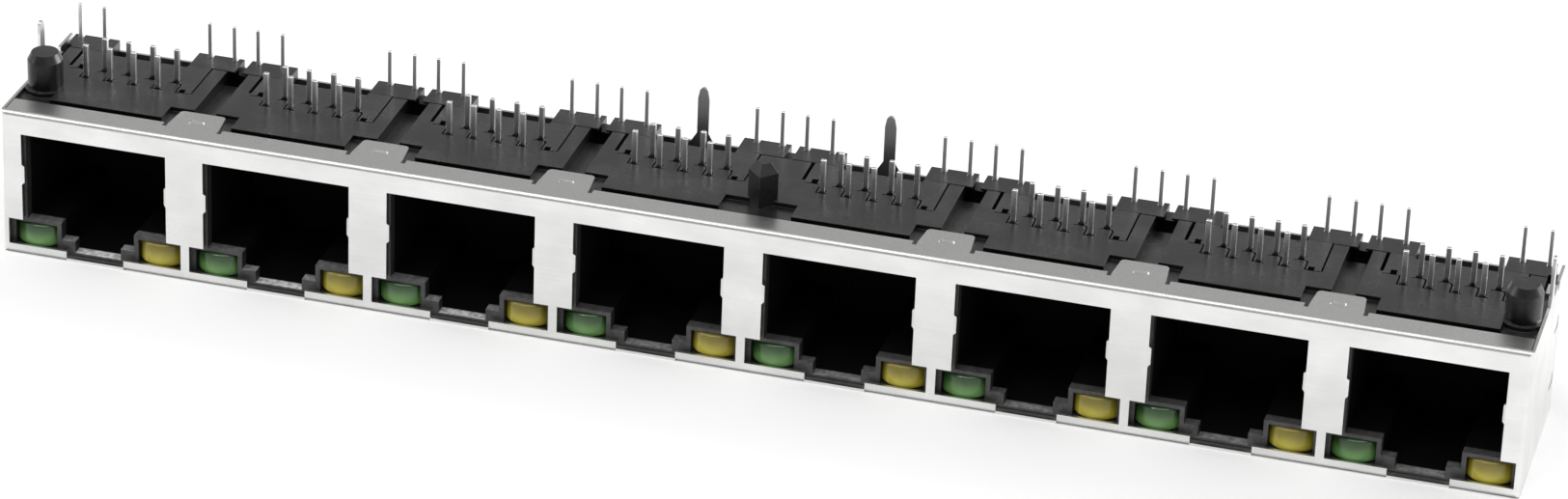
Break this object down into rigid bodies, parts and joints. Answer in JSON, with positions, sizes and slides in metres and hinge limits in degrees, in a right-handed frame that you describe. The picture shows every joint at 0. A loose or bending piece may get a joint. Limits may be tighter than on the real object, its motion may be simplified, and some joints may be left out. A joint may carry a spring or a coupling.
{
  "type": "rj45 board jack",
  "caption": "Shielded row of modular plug sockets side by side, with paired indicator lamps under each opening, board pins, ground tails and round locating pegs.",
  "frame": {"origin": "centre of the whole part's footprint, at the flat resting face of the shield, which is the side away from the circuit board", "axes": "+X along the row of ports, +Y from the port openings to the rear cover, +Z from the resting face to the board side, where the pins and pegs stand up"},
  "size_m": [0.1222, 0.015, 0.0165],
  "materials": {
    "plated_sheet": "bright tin plate, fine brush lines",
    "dark_plastic": "moulded, satin",
    "tinned_wire": "tinned, satin",
    "green_lens": "tinted, diffused, glossy",
    "yellow_lens": "tinted, diffused, glossy"
  },
  "bodies": {
    "root": {"front_shield": "plated_sheet", "rear_shield": "plated_sheet", "housing": "dark_plastic", "carrier_1": "dark_plastic", "carrier_2": "dark_plastic", "carrier_3": "dark_plastic", "carrier_4": "dark_plastic", "carrier_5": "dark_plastic", "carrier_6": "dark_plastic", "carrier_7": "dark_plastic", "carrier_8": "dark_plastic", "contacts_1": "tinned_wire", "contacts_2": "tinned_wire", "contacts_3": "tinned_wire", "contacts_4": "tinned_wire", "contacts_5": "tinned_wire", "contacts_6": "tinned_wire", "contacts_7": "tinned_wire", "contacts_8": "tinned_wire", "green_led_1": "green_lens", "green_led_2": "green_lens", "green_led_3": "green_lens", "green_led_4": "green_lens", "green_led_5": "green_lens", "green_led_6": "green_lens", "green_led_7": "green_lens", "green_led_8": "green_lens", "yellow_led_1": "yellow_lens", "yellow_led_2": "yellow_lens", "yellow_led_3": "yellow_lens", "yellow_led_4": "yellow_lens", "yellow_led_5": "yellow_lens", "yellow_led_6": "yellow_lens", "yellow_led_7": "yellow_lens", "yellow_led_8": "yellow_lens", "green_leads_1": "tinned_wire", "green_leads_2": "tinned_wire", "green_leads_3": "tinned_wire", "green_leads_4": "tinned_wire", "green_leads_5": "tinned_wire", "green_leads_6": "tinned_wire", "green_leads_7": "tinned_wire", "green_leads_8": "tinned_wire", "yellow_leads_1": "tinned_wire", "yellow_leads_2": "tinned_wire", "yellow_leads_3": "tinned_wire", "yellow_leads_4": "tinned_wire", "yellow_leads_5": "tinned_wire", "yellow_leads_6": "tinned_wire", "yellow_leads_7": "tinned_wire", "yellow_leads_8": "tinned_wire"}
  },
  "joints": []
}
